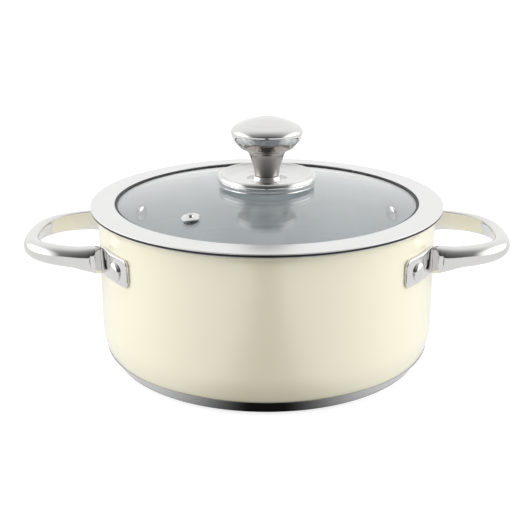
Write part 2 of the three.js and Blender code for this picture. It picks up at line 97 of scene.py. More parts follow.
BAR_DEPTH = 8.6
BAR_HEIGHT = 15.2  # at the roots
BAR_TIP_HEIGHT = 13.6
BAR_TIP_LEAN = math.radians(22)  # the bar leans towards the vessel at its tip
TIP_OVERHANG = 4.75  # from the bar's middle to its outermost point
BOW_START_X = 98  # the bow is a superellipse with its centre here
BOW_REACH = HANDLE_HIGH.x - TIP_OVERHANG - BOW_START_X
BOW_HALF_WIDTH = 50
BOW_EXPONENT = 2.7
BOW_ROOT_Z = 83.2  # height of the bar where it leaves the wall
BOW_RISE = 3.4  # the bar arches up by this much
BOW_ARCH = 0.65  # share of a half wave that the arch covers
BEND_R = 8  # inner face of the bend between the bar and its foot
LEAN_FADE = (-30, -8)  # the lean fades out over this stretch, measured from the start of the bend
SPREAD_FADE = (-18, 0)  # the bar widens to the foot's height over this one
PRESS_START = -6  # the bulge is pressed flat from here
PRESS_LENGTH = 11
FLANGE_THICKNESS = 2.4
FLANGE_Z = (HANDLE_LOW.z + HANDLE_HIGH.z) / 2
FLANGE_HEIGHT = HANDLE_HIGH.z - HANDLE_LOW.z
FLANGE_END = math.radians(41.2)  # azimuth of the flange's far edge
FLANGE_R = WALL_R + 0.2  # the face that lies on the wall

AROUND = 224  # facets round the large turned pieces
AROUND_SMALL = 128


# ---------------------------------------------------------------- outlines

def arc(centre, radius, start, end, steps):
    """Points on an arc in the (radius, height) plane, angles in radians."""
    points = []
    for i in range(steps + 1):
        a = start + (end - start) * i / steps
        points.append((centre[0] + radius * math.cos(a), centre[1] + radius * math.sin(a)))
    return points


def rounded(corners, closed, steps=5):
    """Points along an outline whose corners are (radius, height) or (radius, height, fillet)."""
    points = []
    count = len(corners)
    for i, corner in enumerate(corners):
        here = Vector(corner[:2])
        fillet = corner[2] if len(corner) > 2 else 0
        if not fillet or (not closed and i in (0, count - 1)):
            points.append(tuple(here))
            continue
        back = (Vector(corners[i - 1][:2]) - here).normalized()
        ahead = (Vector(corners[(i + 1) % count][:2]) - here).normalized()
        half = back.angle(ahead) / 2
        centre = here + (back + ahead).normalized() * fillet / math.sin(half)
        first = here + back * fillet / math.tan(half) - centre
        last = here + ahead * fillet / math.tan(half) - centre
        start = math.atan2(first.y, first.x)
        turn = (math.atan2(last.y, last.x) - start + math.pi) % (2 * math.pi) - math.pi
        points += arc(centre, fillet, start, start + turn, steps)
    return points


def curve_through(points, steps):
    """A smooth curve through (radius, height) points, with even steps between each two."""
    knots = [Vector(p) for p in points]
    knots = [2 * knots[0] - knots[1], *knots, 2 * knots[-1] - knots[-2]]
    out = []
    for a, b, c, d in zip(knots, knots[1:], knots[2:], knots[3:]):
        for i in range(steps):
            t = i / steps
            out.append(tuple(0.5 * (
                2 * b + (c - a) * t + (2 * a - 5 * b + 4 * c - d) * t ** 2 + (3 * b - a - 3 * c + d) * t ** 3
            )))
    out.append(tuple(knots[-2]))
    return out


# ---------------------------------------------------------------- meshes

def to_object(name, bm, sharp=40):
    """A linked, smooth-shaded object from a bmesh whose edges over that many degrees stay sharp."""
    mesh = bpy.data.meshes.new(name)
    bm.to_mesh(mesh)
    bm.free()
    mesh.shade_smooth()
    mesh.set_sharp_from_angle(angle=math.radians(sharp))
    piece = bpy.data.objects.new(name, mesh)
    bpy.context.scene.collection.objects.link(piece)
    return piece


def bridge(bm, lower, upper):
    """Faces between two rings of vertices, either of which may be a single vertex on the axis."""
    count = max(len(lower), len(upper))
    for i in range(count):
        j = (i + 1) % count
        below = [lower[i % len(lower)], lower[j % len(lower)]]
        above = [upper[j % len(upper)], upper[i % len(upper)]]
        bm.faces.new(list(dict.fromkeys(below + above)))


def lathe(name, profile, around=AROUND):
    """A solid of revolution about Z. The profile runs anticlockwise, and closes on itself off the axis."""
    bm = bmesh.new()
    rings = []
    for radius, height in profile:
        if radius < 1e-6:
            rings.append([bm.verts.new((0, 0, height * MM))])
            continue
        ring = []
        for i in range(around):
            a = 2 * math.pi * i / around
            ring.append(bm.verts.new((radius * MM * math.cos(a), radius * MM * math.sin(a), height * MM)))
        rings.append(ring)
    for lower, upper in zip(rings, rings[1:]):
        bridge(bm, lower, upper)
    if len(rings[0]) > 1:
        bridge(bm, rings[-1], rings[0])
    return to_object(name, bm)


def place(piece, matrix):
    """Moves a piece's mesh, so that its object stays at the origin."""
    piece.data.transform(matrix)


def cut(piece, tool):
    """Takes the tool's solid out of the piece, and deletes the tool."""
    modifier = piece.modifiers.new("cut", "BOOLEAN")
    modifier.operation = "DIFFERENCE"
    modifier.solver = "EXACT"
    modifier.object = tool
    with bpy.context.temp_override(object=piece, active_object=piece):
        bpy.ops.object.modifier_apply(modifier="cut")
    bpy.data.objects.remove(tool)


# ---------------------------------------------------------------- materials

def add_node(tree, kind, inputs=None, **properties):
    """A new node. Each of its inputs is linked, if a socket is given for it, or set."""
    node = tree.nodes.new(kind)
    for key, value in properties.items():
        setattr(node, key, value)
    for key, value in (inputs or {}).items():
        if isinstance(value, bpy.types.NodeSocket):
            tree.links.new(value, node.inputs[key])
        else:
            node.inputs[key].default_value = value
    return node


class Shader:
    """A Principled material with short calls for the nodes round it."""

    def __init__(self, name, color, roughness, **sockets):
        self.material = bpy.data.materials.new(name)
        self.material.use_nodes = True
        self.tree = self.material.node_tree
        self.shader = self.tree.nodes["Principled BSDF"]
        self.set(self.shader, {"Base Color": (*color, 1), "Roughness": roughness})
        self.set(self.shader, {key.replace("_", " "): value for key, value in sockets.items()})
        self.position = self.node("ShaderNodeTexCoord").outputs["Object"]

    def set(self, node, values):
        for key, value in values.items():
            node.inputs[key].default_value = value

    def link(self, source, target):
        self.tree.links.new(source, target)

    def node(self, kind, inputs=None, **properties):
        return add_node(self.tree, kind, inputs, **properties)

    def scaled(self, scale):
        """Object coordinates scaled along each axis."""
        node = self.node("ShaderNodeVectorMath", {0: self.position, 1: scale}, operation="MULTIPLY")
        return node.outputs["Vector"]

    def turned_grain(self, along, across):
        """Coordinates stretched round Z, so that noise on them runs in turned rings, on walls and floors."""
        split = self.node("ShaderNodeSeparateXYZ", {0: self.position})
        length = self.node("ShaderNodeVectorMath", {0: self.scaled((1, 1, 0))}, operation="LENGTH")
        climb = self.node("ShaderNodeMath", {
            0: length.outputs["Value"], 1: split.outputs["Z"],
        }, operation="ADD")
        rings = self.node("ShaderNodeMath", {0: climb.outputs[0], 1: across}, operation="MULTIPLY")
        wide = self.scaled((along, along, 0))
        tall = self.node("ShaderNodeCombineXYZ", {"Z": rings.outputs[0]})
        node = self.node("ShaderNodeVectorMath", {0: wide, 1: tall.outputs[0]}, operation="ADD")
        return node.outputs["Vector"]

    def noise(self, vector, scale, detail=3, roughness=0.5):
        node = self.node("ShaderNodeTexNoise", {
            "Vector": vector, "Scale": scale, "Detail": detail, "Roughness": roughness,
        })
        return node.outputs["Fac"]

    def spread(self, value, low, high):
        """A 0 to 1 value spread over a range."""
        node = self.node("ShaderNodeMapRange", {"Value": value, "To Min": low, "To Max": high})
        return node.outputs["Result"]

    def vary_color(self, value, low, high):
        node = self.node("ShaderNodeMix", {"Factor": value, 6: (*low, 1), 7: (*high, 1)}, data_type="RGBA")
        self.link(node.outputs[2], self.shader.inputs["Base Color"])

    def vary_roughness(self, value, low, high):
        self.link(self.spread(value, low, high), self.shader.inputs["Roughness"])

    def bump(self, value, height, strength=1.0):
        """Bumps of that height, in metres."""
        node = self.node("ShaderNodeBump", {"Height": value, "Distance": height, "Strength": strength})
        self.link(node.outputs["Normal"], self.shader.inputs["Normal"])


def polished(name, low, high, roughness=(0.035, 0.09)):
    """Mirror-polished stainless steel with faint smears and buffing marks."""
    s = Shader(name, high, roughness[0], Metallic=1.0)
    smears = s.noise(s.position, 38, 5, 0.6)
    s.vary_color(smears, low, high)
    s.vary_roughness(smears, *roughness)
    s.bump(s.noise(s.scaled((1, 1, 3)), 260, 2), 0.000004)
    return s.material


def brushed(name, low, high, roughness, depth, metallic=1.0):
    """Stainless steel brushed in rings round the pot's axis."""
    s = Shader(name, high, roughness[0], Metallic=metallic)
    grain = s.noise(s.turned_grain(9, 1500), 1.0, 6, 0.7)
    s.vary_color(grain, low, high)
    s.vary_roughness(grain, *roughness)
    s.bump(grain, depth)
    return s.material


def enamel_material():
    """Cream enamel: glossy, with the faint orange peel of a fired coat."""
    s = Shader("cream_enamel", (0.84, 0.80, 0.62), 0.34, Coat_Weight=1.0, Coat_Roughness=0.2, Coat_IOR=2.0)
    s.vary_color(s.noise(s.position, 14, 3), (0.82, 0.785, 0.595), (0.85, 0.81, 0.62))
    s.vary_roughness(s.noise(s.position, 60, 4), 0.32, 0.40)
    s.bump(s.noise(s.position, 420, 2), 0.000008)
    return s.material


def glass_material():
    """Clear tempered glass that lets the lamps through to the pot."""
    s = Shader("lid_glass", (0.97, 0.985, 0.98), 0.0, IOR=1.5, Transmission_Weight=1.0)
    s.bump(s.noise(s.position, 30, 2), 0.00001)
    paths = s.node("ShaderNodeLightPath")
    clear = s.node("ShaderNodeBsdfTransparent", {"Color": (0.93, 0.95, 0.95, 1)})
    mix = s.node("ShaderNodeMixShader", {
        0: paths.outputs["Is Shadow Ray"], 1: s.shader.outputs[0], 2: clear.outputs[0],
    })
    s.link(mix.outputs[0], s.tree.nodes["Material Output"].inputs["Surface"])
    return s.material


def silicone_material():
    s = Shader("silicone", (0.02, 0.021, 0.022), 0.45)
    s.vary_color(s.noise(s.position, 90, 3), (0.006, 0.006, 0.007), (0.014, 0.014, 0.015))
    s.bump(s.noise(s.position, 900, 3), 0.00001)
    return s.material


def aluminium_material():
    s = Shader("cut_aluminium", (0.6, 0.61, 0.62), 0.4, Metallic=1.0)
    grain = s.noise(s.turned_grain(4, 900), 1.0, 4)
    s.vary_color(grain, (0.5, 0.51, 0.52), (0.68, 0.69, 0.70))
    s.bump(grain, 0.00002)
    return s.material


POLISHED = polished("polished_steel", (0.74, 0.735, 0.73), (0.84, 0.835, 0.825))
RIM_STEEL = polished("rim_steel", (0.85, 0.85, 0.845), (0.91, 0.91, 0.905), (0.34, 0.42))
# Painted shade: a darker, warmer copy of the polished steel, which paints shade onto the knob's stem and cup
# under its head.
SHADED_KNOB_STEEL = polished("knob_steel_painted_shade", (0.40, 0.38, 0.36), (0.54, 0.52, 0.50))
# Painted shade: a darker copy of the polished steel, which darkens the reflections in the base's band.
DARKENED_BASE_STEEL = polished("base_steel_painted_dark", (0.46, 0.465, 0.47), (0.58, 0.585, 0.59), (0.12, 0.18))
BRUSHED = brushed("brushed_inside", (0.54, 0.565, 0.58), (0.76, 0.785, 0.80), (0.26, 0.38), 0.00001, 0.5)
SATIN = brushed("satin_steel", (0.5, 0.51, 0.52), (0.66, 0.67, 0.68), (0.25, 0.35), 0.00001)
CREAM = enamel_material()
CLEAR = glass_material()
SILICONE = silicone_material()
ALUMINIUM = aluminium_material()


def finish_piece(piece, material, body, nodes=()):
    """Gives a piece its material and body, and hides the CAD nodes that it stands for."""
    piece.data.materials.clear()
    piece.data.materials.append(material)
    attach(piece, body)
    if nodes:
        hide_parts(*nodes)


# ---------------------------------------------------------------- pot

TIGHT_CENTRE = (
    WALL_R - (LONG_R - TIGHT_R) * (1 - math.cos(JOIN)) - TIGHT_R,
    FLOOR_Z + TIGHT_R,
)
LONG_CENTRE = (
    WALL_R - LONG_R,
    TIGHT_CENTRE[1] + (LONG_R - TIGHT_R) * math.sin(JOIN),
)
FLARE_CENTRE = (WALL_R + FLARE_R, FLARE_Z)


def vessel_skin(inset, start=-math.pi / 2, flare=FLARE_TURN):
    """The vessel's outline from its corner up to the lip, set in from the outside."""
    return [
        *arc(TIGHT_CENTRE, TIGHT_R - inset, start, -JOIN, 12),
        *arc(LONG_CENTRE, LONG_R - inset, -JOIN, 0, 20)[1:],
        *arc(FLARE_CENTRE, FLARE_R + inset, math.pi, math.pi - flare, 14),
    ]


def floor_rings(height, steps=10):
    """Rings across the flat floor, so that its shading is even."""
    return [(TIGHT_CENTRE[0] * i / steps, height) for i in range(steps)]


def make_vessel():
    outside = vessel_skin(ENAMEL)
    inside = vessel_skin(WALL)
    lip_middle = (Vector(outside[-1]) + Vector(inside[-1])) / 2
    lip_r = (WALL - ENAMEL) / 2
    edge = math.pi - FLARE_TURN
    roll = arc(lip_middle, lip_r, edge + math.pi, edge + 2 * math.pi, 8)[1:-1]
    profile = [
        *floor_rings(FLOOR_Z),
        *outside,
        *roll,
        *reversed(inside),
        *reversed(floor_rings(FLOOR_Z + WALL)),
    ]
    steel = lathe("vessel_steel", profile)
    finish_piece(steel, BRUSHED, "pot", ["vessel"])

    coat_start = -math.radians(40)
    coat_flare = FLARE_TURN * 0.86
    outer = vessel_skin(0, coat_start, coat_flare)
    inner = vessel_skin(ENAMEL - 0.01, coat_start, coat_flare)
    coat = lathe("vessel_enamel", [*outer, *reversed(inner)])
    finish_piece(coat, CREAM, "pot", ["vessel"])


def make_base():
    edge_r = 2
    flat_r = 109.8
    side_r = flat_r + edge_r
    sheet = 0.6
    top_angle = -JOIN - math.radians(2)
    profile = [
        *[(flat_r * i / 12, 0) for i in range(12)],
        *arc((flat_r, edge_r), edge_r, -math.pi / 2, 0, 8),
        *arc(TIGHT_CENTRE, TIGHT_R + 0.1 + sheet, -math.radians(62), top_angle, 10),
        *reversed(arc(TIGHT_CENTRE, TIGHT_R + 0.1, -math.radians(66), top_angle, 10)),
        (side_r - sheet, FLOOR_Z - 1.2),
        (side_r - sheet, edge_r),
        (flat_r, 0.8),
        (0, 0.8),
    ]
    cap = lathe("base_cap_turned", profile)
    finish_piece(cap, DARKENED_BASE_STEEL, "pot", ["base_cap"])
    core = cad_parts["base_core"]
    core.data.materials.clear()
    core.data.materials.append(ALUMINIUM)


# ---------------------------------------------------------------- handles and rivets

def bow_inner_face():
    """Plan points of the bar's inner face, from the tip to where the arm bends towards its flange."""
    points = []
    power = 2 / BOW_EXPONENT
    steps = 90
    for i in range(steps):
        a = (math.pi / 2) * i / steps
        x = BOW_START_X + BOW_REACH * math.cos(a) ** power
        y = BOW_HALF_WIDTH * math.sin(a) ** power
        gradient = Vector((
            ((x - BOW_START_X) / BOW_REACH) ** (BOW_EXPONENT - 1) / BOW_REACH,
            (y / BOW_HALF_WIDTH) ** (BOW_EXPONENT - 1) / BOW_HALF_WIDTH,
        )).normalized()
        points.append(Vector((x, y)) - gradient * BAR_DEPTH / 2)
    return points


def handle_path():
    """The strap's inner face in plan from the tip to the foot's end, and where its bend starts."""
    bow = bow_inner_face()
    arm_y = bow[-1].y
    corner = Vector((math.sqrt(FLANGE_R ** 2 - arm_y ** 2), arm_y))
    azimuth = math.atan2(corner.y, corner.x)
    along_wall = Vector((-math.sin(azimuth), math.cos(azimuth)))
    half = along_wall.angle(Vector((1, 0))) / 2
    reach = BEND_R / math.tan(half)
    arm = [p for p in bow if p.x > corner.x + reach + 1]
    centre = corner + Vector((reach, BEND_R))
    bend = arc(centre, BEND_R, -math.pi / 2, -math.pi / 2 - (math.pi - 2 * half), 16)
    wall_start = math.atan2(bend[-1][1], bend[-1][0])
    wall = arc((0, 0), FLANGE_R, wall_start, FLANGE_END, 24)[1:]
    rough = [*arm, *[Vector(p) for p in bend], *[Vector(p) for p in wall]]
    return even_spacing(rough, 0.8), Vector(bend[0])


def even_spacing(points, step):
    """The same line with points an even step apart."""
    lengths = [0]
    for a, b in zip(points, points[1:]):
        lengths.append(lengths[-1] + (b - a).length)
    count = max(2, round(lengths[-1] / step))
    out = []
    k = 0
    for i in range(count + 1):
        target = lengths[-1] * i / count
        while k < len(points) - 2 and lengths[k + 1] < target:
            k += 1
        t = (target - lengths[k]) / max(lengths[k + 1] - lengths[k], 1e-9)
        out.append(points[k].lerp(points[k + 1], t))
    return out


def ease(value, start, end):
    """0 before start, 1 after end, and smooth between."""
    t = min(max((value - start) / (end - start), 0), 1)
    return t * t * (3 - 2 * t)


def strap_section(depth, height, bulge, corner):
    """The strap's section as (outward, up) points: a flat inner face and a bulged outer one."""
    half = height / 2
    corner = min(corner, depth * 0.45, half * 0.9)
    points = []
    for i in range(9):
        t = -1 + 2 * i / 8
        points.append((0, -t * (half - corner)))
    for i in range(1, 5):
        a = (math.pi / 2) * i / 4
        points.append((corner * (1 - math.cos(a)), -(half - corner) - corner * math.sin(a)))
    for i in range(1, 24):
        a = -math.pi / 2 + math.pi * i / 24
        out = corner + (depth - corner) * abs(math.cos(a)) ** (2 / bulge)
        up = half * math.copysign(abs(math.sin(a)) ** (2 / bulge), math.sin(a))
        points.append((out, up))
    for i in range(4, 0, -1):
        a = (math.pi / 2) * i / 4
        points.append((corner * (1 - math.cos(a)), (half - corner) + corner * math.sin(a)))
    return points


def lean_back(section, depth, share):
    """The section turned about its middle, so that its outer face looks upwards towards the tip."""
    angle = BAR_TIP_LEAN * share
    c = math.cos(angle)
    s = math.sin(angle)
    middle = depth / 2
    return [(middle + (out - middle) * c - up * s, (out - middle) * s + up * c) for out, up in section]


def bow_height(x):
    """Height of the bar's middle at a distance from the vessel's axis."""
    along = min((x - BOW_START_X) / BOW_REACH, 1)
    return BOW_ROOT_Z + BOW_RISE * math.sin(math.pi * BOW_ARCH * along)


def strap_ring(point, along, past, left):
    """The strap's section at a point, that far past the bend's start and short of the foot's end."""
    end_corner = 4.5
    edge_round = 0.9
    outward = Vector((along.y, -along.x))
    bow = outward.x * (1 - ease(past, *LEAN_FADE))
    pressed = min(max((past - PRESS_START) / PRESS_LENGTH, 0), 1)
    flat = 1 - math.sqrt(1 - pressed ** 2)
    spread = ease(past, *SPREAD_FADE)
    depth = BAR_DEPTH + (FLANGE_THICKNESS - BAR_DEPTH) * flat
    bar_height = BAR_HEIGHT + (BAR_TIP_HEIGHT - BAR_HEIGHT) * bow
    height = bar_height + (FLANGE_HEIGHT - bar_height) * spread
    if left < end_corner:
        height -= 2 * (end_corner - math.sqrt(end_corner ** 2 - (end_corner - left) ** 2))
    if left < edge_round:
        depth -= edge_round - math.sqrt(edge_round ** 2 - (edge_round - left) ** 2)
    rise = bow_height(point.x)
    middle = rise + (FLANGE_Z - rise) * spread
    section = strap_section(depth, height, 2.3 + 3.7 * flat, 1.4 - 0.6 * flat)
    return [
        Vector((point.x + outward.x * out, point.y + outward.y * out, middle + up))
        for out, up in lean_back(section, depth, bow)
    ]


def handle_mesh(name):
    """One handle on the +X side: a strap that bulges into a bar and lies flat on the wall at its ends."""
    path, bend_start = handle_path()
    last = len(path) - 1
    step = (path[1] - path[0]).length
    bend = min(range(last + 1), key=lambda i: (path[i] - bend_start).length)
    half = []
    for i, point in enumerate(path):
        along = (path[min(i + 1, last)] - path[max(i - 1, 0)]).normalized() if i else Vector((0, 1))
        half.append(strap_ring(point, along, (i - bend) * step, (last - i) * step))
    near = [[Vector((p.x, -p.y, p.z)) for p in ring] for ring in reversed(half[1:])]
    bm = bmesh.new()
    rings = [[bm.verts.new(p * MM) for p in ring] for ring in near + half]
    for lower, upper in zip(rings, rings[1:]):
        bridge(bm, lower, upper)
    bm.faces.new(list(reversed(rings[0])))
    bm.faces.new(rings[-1])
    bmesh.ops.recalc_face_normals(bm, faces=bm.faces)
    return to_object(name, bm, 50)


def make_handles():
    for side, turn in (("right", 0), ("left", math.pi)):
        handle = handle_mesh(f"handle_{side}_strap")
        place(handle, Matrix.Rotation(turn, 4, "Z"))
        finish_piece(handle, POLISHED, "pot", [f"handle_{side}"])


def rivet_mesh(name):
    """A rivet standing along +Z, at its distance from the vessel's axis."""
    inner_r = 6.3
    outer_r = 6.8
    shank_r = 3
    rise = 2.7
    inner_seat = WALL_R - WALL - 0.15
    outer_seat = FLANGE_R + FLANGE_THICKNESS - 0.1
    dome_in = [(inner_r * math.sin(a), inner_seat - 0.35 - rise * math.cos(a))
               for a in [math.pi / 2 * i / 12 for i in range(13)]]
    dome_out = [(outer_r * math.cos(a), outer_seat + 0.35 + rise * math.sin(a))
                for a in [math.pi / 2 * i / 12 for i in range(13)]]
    dome_in[0] = (0, dome_in[0][1])
    dome_out[-1] = (0, dome_out[-1][1])
    profile = [
        *dome_in,
        (inner_r - 0.1, inner_seat),
        (shank_r, inner_seat),
        (shank_r, outer_seat),
        (outer_r - 0.1, outer_seat),
        *dome_out,
    ]
    return lathe(name, profile, 64)


def make_rivets():
    for side in ("right", "left"):
        for where in ("front", "back"):
            node = f"rivet_{side}_{where}"
            low, high = box_mm(node)
            middle = (low + high) / 2
            rivet = rivet_mesh(f"{node}_head")
            lie_out = Matrix.Rotation(math.pi / 2, 4, "Y")
            aim = Matrix.Rotation(math.atan2(middle.y, middle.x), 4, "Z")
            lift = Matrix.Translation((0, 0, middle.z * MM))
            place(rivet, lift @ aim @ lie_out)
            finish_piece(rivet, POLISHED, "pot", [node])


# ---------------------------------------------------------------- lid

def glass_top(radius):
    return GLASS_TOP_Z - GLASS_DROP * (radius / RIM_INNER_R) ** 2


def rim_top(radius):
    slope = (RIM_OUTER_Z - RIM_INNER_Z) / (LID_R - RIM_INNER_R)
    return RIM_INNER_Z + slope * (radius - RIM_INNER_R)


def make_rim():
    skirt_inner = SKIRT_R - RIM_SHEET
    crimp_inner = skirt_inner - CRIMP_REACH
    corners = [
        (RIM_INNER_R + 0.1, RIM_INNER_Z - RIM_SHEET, 0.2),
        (skirt_inner, rim_top(skirt_inner) - RIM_SHEET),
        (skirt_inner, CRIMP_Z + RIM_SHEET),
        (crimp_inner, CRIMP_Z + RIM_SHEET, 0.3),
        (crimp_inner, CRIMP_Z, 0.3),
        (skirt_inner, CRIMP_Z),
        (skirt_inner, RIM_LOW.z, 0.36),
        (SKIRT_R, RIM_LOW.z, 0.36),
        (SKIRT_R + 0.3, LEDGE_Z, 0.4),
        (LID_R, LEDGE_Z, 0.35),
        (LID_R, rim_top(LID_R), 0.45),
        (RIM_INNER_R, rim_top(RIM_INNER_R), 0.5),
    ]
    rim = lathe("lid_rim_folded", rounded(corners, True, 8))
    finish_piece(rim, RIM_STEEL, "lid", ["lid_rim"])


def make_seal():
    outer = SKIRT_R - RIM_SHEET - 0.1
    bottom = CRIMP_Z + RIM_SHEET + 0.1
    inner = GLASS_R - 1.6
    edge = GLASS_R + 0.1
    under = glass_top(GLASS_R) - GLASS_THICKNESS - 0.1
    corners = [
        (inner, bottom, 0.25),
        (outer, bottom, 0.3),
        (outer, rim_top(outer) - RIM_SHEET - 0.1, 0.3),
        (RIM_INNER_R + 0.3, RIM_INNER_Z - RIM_SHEET - 0.1, 0.1),
        (LIP_EDGE_R, glass_top(LIP_EDGE_R) + 0.5, 0.2),
        (LIP_EDGE_R, glass_top(LIP_EDGE_R) + 0.05),
        (edge, glass_top(edge) + 0.1, 0.2),
        (edge, under, 0.2),
        (inner, under, 0.2),
    ]
    seal = lathe("rim_seal_channel", rounded(corners, True, 4))
    finish_piece(seal, SILICONE, "lid", ["rim_seal"])


# A dark silicone ring fills the gap under the rim's overhang; it stands in for the shadow in that gap,
# painting the black line between lid and pot.
def make_gasket():
    corners = [
        (SKIRT_R + 0.4, SEAT_Z),
        (LID_R - 0.3, SEAT_Z, 0.4),
        (LID_R - 0.3, LEDGE_Z - 0.02, 0.4),
        (SKIRT_R + 0.4, LEDGE_Z - 0.02),
    ]
    gasket = lathe("rim_shadow_gasket_ring", rounded(corners, True, 5))
    finish_piece(gasket, SILICONE, "lid", ["rim_gasket"])


# The vent's frame: its distance and direction from the axis, and the slope of the glass there.
VENT_MIDDLE = (EYELET_LOW + EYELET_HIGH) / 2
VENT_AZIMUTH = math.atan2(VENT_MIDDLE.y, VENT_MIDDLE.x)
VENT_RADIUS = 82
VENT_TILT = math.atan(2 * GLASS_DROP * VENT_RADIUS / RIM_INNER_R ** 2)
VENT_PLACE = (
    Matrix.Rotation(VENT_AZIMUTH, 4, "Z")
    @ Matrix.Translation((VENT_RADIUS * MM, 0, glass_top(VENT_RADIUS) * MM))
    @ Matrix.Rotation(VENT_TILT, 4, "Y")
)
VENT_BARREL_R = 3


def make_glass():
    bore = 3.4
    radii = [bore + (GLASS_R - bore) * i / 40 for i in range(41)]
    underside = [(r, glass_top(r) - GLASS_THICKNESS) for r in radii]
    top = [(r, glass_top(r)) for r in reversed(radii)]
    edge_z = glass_top(GLASS_R) - GLASS_THICKNESS / 2
    edge = arc((GLASS_R - 0.9, edge_z), 1, -math.pi / 2 + 0.3, math.pi / 2 - 0.3, 6)
    edge = [(r, edge_z + (z - edge_z) * GLASS_THICKNESS / 2) for r, z in edge]
    glass = lathe("lid_glass_dome", [*underside[:-1], *edge, *top[1:]])
    hole = lathe("vent_hole", [(0, -12), (VENT_BARREL_R + 0.2, -12), (VENT_BARREL_R + 0.2, 6), (0, 6)], 48)
    place(hole, VENT_PLACE)
    cut(glass, hole)
    finish_piece(glass, CLEAR, "lid", ["lid_glass"])


def make_vent():
    flange_r = 6.2
    bore = 1.7
    flange_z = 0.75
    below = -GLASS_THICKNESS - 1.1
    eyelet = lathe("vent_eyelet_turned", rounded([
        (bore, below - 1, 0.3),
        (VENT_BARREL_R + 1.5, below - 1, 0.3),
        (VENT_BARREL_R + 1.5, below, 0.2),
        (VENT_BARREL_R, below),
        (VENT_BARREL_R, flange_z),
        (flange_r, flange_z, 0.25),
        (flange_r, flange_z + 0.8, 0.5),
        (VENT_BARREL_R + 0.4, flange_z + 1.4, 0.6),
        (bore + 0.7, flange_z + 0.8, 0.4),
        (bore, flange_z - 0.4, 0.5),
    ], True, 5), 64)
    gasket = lathe("vent_gasket_ring", rounded([
        (VENT_BARREL_R + 0.1, 0.05),
        (flange_r - 0.5, 0.05, 0.2),
        (flange_r - 0.5, 0.7, 0.2),
        (VENT_BARREL_R + 0.1, 0.7),
    ], True, 4), 64)
    washer = lathe("vent_washer_ring", rounded([
        (VENT_BARREL_R + 0.1, below + 0.1),
        (flange_r, below + 0.1, 0.2),
        (flange_r, -GLASS_THICKNESS - 0.1, 0.2),
        (VENT_BARREL_R + 0.1, -GLASS_THICKNESS - 0.1),
    ], True, 4), 64)
    for piece, material, slot, node in (
        (eyelet, POLISHED, "polished_steel", "vent_eyelet"),
        (gasket, SILICONE, "silicone", "vent_gasket"),
        (washer, SATIN, "satin_steel", "vent_washer"),
    ):
        place(piece, VENT_PLACE)
        finish_piece(piece, material, "lid", [node])


# ---------------------------------------------------------------- knob

def make_plate():
    r = PLATE_HIGH.x
    low = PLATE_LOW.z
    top = PLATE_HIGH.z
    bore = 2.8
    collar_z = STEM_LOW.z - 0.1
    dish = curve_through([
        (r - 3.0, top - 1.3), (r - 6.5, top - 3.6), (26, low + 2.9), (18, low + 2.2), (13, low + 2.5),
        (10.6, low + 3.4),
    ], 6)
    outline = [
        *rounded([
            (bore, low + 1.1),
            (13.2, low + 1.1),
            (14, low + 0.1, 0.4),
            (24, low + 0.1, 3),
            (r - 3, low + 1.0, 1.0),
            (r - 0.9, low + 0.4, 0.4),
        ], False, 5),
        *arc((r - 5.2, low + 4.4), 5.2, -0.62, 0.5, 10),
        *arc((r - 1.9, top - 0.9), 0.9, 0.5, 2.2, 8),
        *dish,
        *rounded([(9.7, low + 4.2, 0.8), (9.5, collar_z, 0.4), (bore, collar_z)], False, 5)[1:],
    ]
    plate = lathe("knob_plate_dished", outline, AROUND_SMALL)
    finish_piece(plate, POLISHED, "lid", ["knob_plate"])


def make_stem():
    waist = 8.8
    bottom = STEM_LOW.z
    top = STEM_HIGH.z
    top_r = STEM_HIGH.x
    flare = curve_through([
        (waist - 0.35, bottom + 0.05), (waist, bottom + 0.5), (waist + 0.2, bottom + 2.2),
        (waist + 0.7, bottom + 5.2), (waist + 1.35, bottom + 8), (waist + 2.2, bottom + 11),
        (waist + 3.4, bottom + 14.2), (waist + 4.3, bottom + 16.6),
        (top_r - 0.15, bottom + 18), (top_r, top),
    ], 4)
    bore = 2.8
    profile = [(0, top - 4), (bore, top - 4), (bore, bottom), *flare, (0, top)]
    stem = lathe("knob_stem_turned", profile, AROUND_SMALL)
    finish_piece(stem, SHADED_KNOB_STEEL, "lid", ["knob_stem"])


def make_head():
    r = HEAD_HIGH.x
    top = HEAD_HIGH.z
    low = CUP_LOW.z
    cup = lathe("knob_cup_cone", rounded([
        (0, low - 0.2),
        (STEM_HIGH.x + 1, low - 0.2, 1.5),
        (19, low + 1.7, 3),
        (r - 1.5, low + 7.2, 0.3),
        (r - 2.4, low + 7.6, 0.3),
        (18, low + 2.9, 2),
        (STEM_HIGH.x, low + 1.1, 1),
        (0, low + 1.1),
    ], False, 6), AROUND_SMALL)
    finish_piece(cup, SHADED_KNOB_STEEL, "lid", ["knob_cup"])

    crease = (18, top - 3.9)
    dome_r = (crease[0] ** 2 + 3.7 ** 2) / (2 * 3.7)
    dome_angle = math.asin(crease[0] / dome_r)
    dome = arc((0, top - dome_r), dome_r, math.pi / 2 - dome_angle, math.pi / 2, 20)
    side = curve_through([
        (r - 1.5, HEAD_LOW.z + 0.05), (r - 0.9, HEAD_LOW.z + 1.6), (r - 0.1, HEAD_LOW.z + 4.4),
        (r - 0.2, HEAD_LOW.z + 6.4), (r - 1.8, HEAD_LOW.z + 8.6), (r - 4.4, HEAD_LOW.z + 10.3), crease,
    ], 6)
    sheet = 1.1
    inner = [(0, top - sheet), (17.4, top - 3.9 - sheet), (r - sheet, HEAD_LOW.z + 5.9),
             (r - sheet - 1.2, HEAD_LOW.z)]
    cap_profile = [*inner, (r - 1.6, HEAD_LOW.z), *side[:-1], *dome[:-1], (0, top)]
    cap = lathe("knob_cap_domed", cap_profile, AROUND_SMALL)
    finish_piece(cap, POLISHED, "lid", ["knob_cap"])


